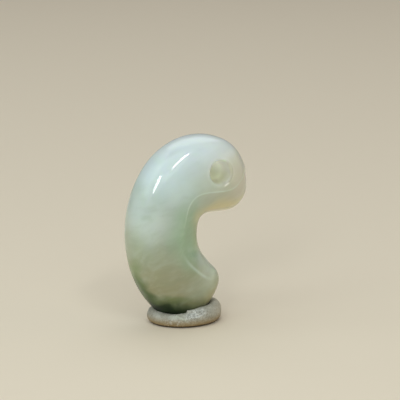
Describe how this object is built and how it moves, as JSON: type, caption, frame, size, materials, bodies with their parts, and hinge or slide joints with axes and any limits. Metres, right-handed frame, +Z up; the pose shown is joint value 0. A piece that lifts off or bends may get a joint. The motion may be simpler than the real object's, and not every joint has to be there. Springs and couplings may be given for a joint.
{
  "type": "jade magatama on a putty ring",
  "caption": "Comma-shaped bead of polished pale-green jade with a drilled suspension hole, standing in a small rolled ring of putty.",
  "frame": {"origin": "on the ground under the middle of the whole object", "axes": "+Z up, along the bead's height; +X towards the open mouth of the comma; +Y towards the bead's back face"},
  "size_m": [0.0214, 0.011, 0.0309],
  "materials": {
    "jade": "polished",
    "putty": "matte"
  },
  "bodies": {
    "root": {"magatama": "jade", "putty_ring": "putty"}
  },
  "joints": []
}
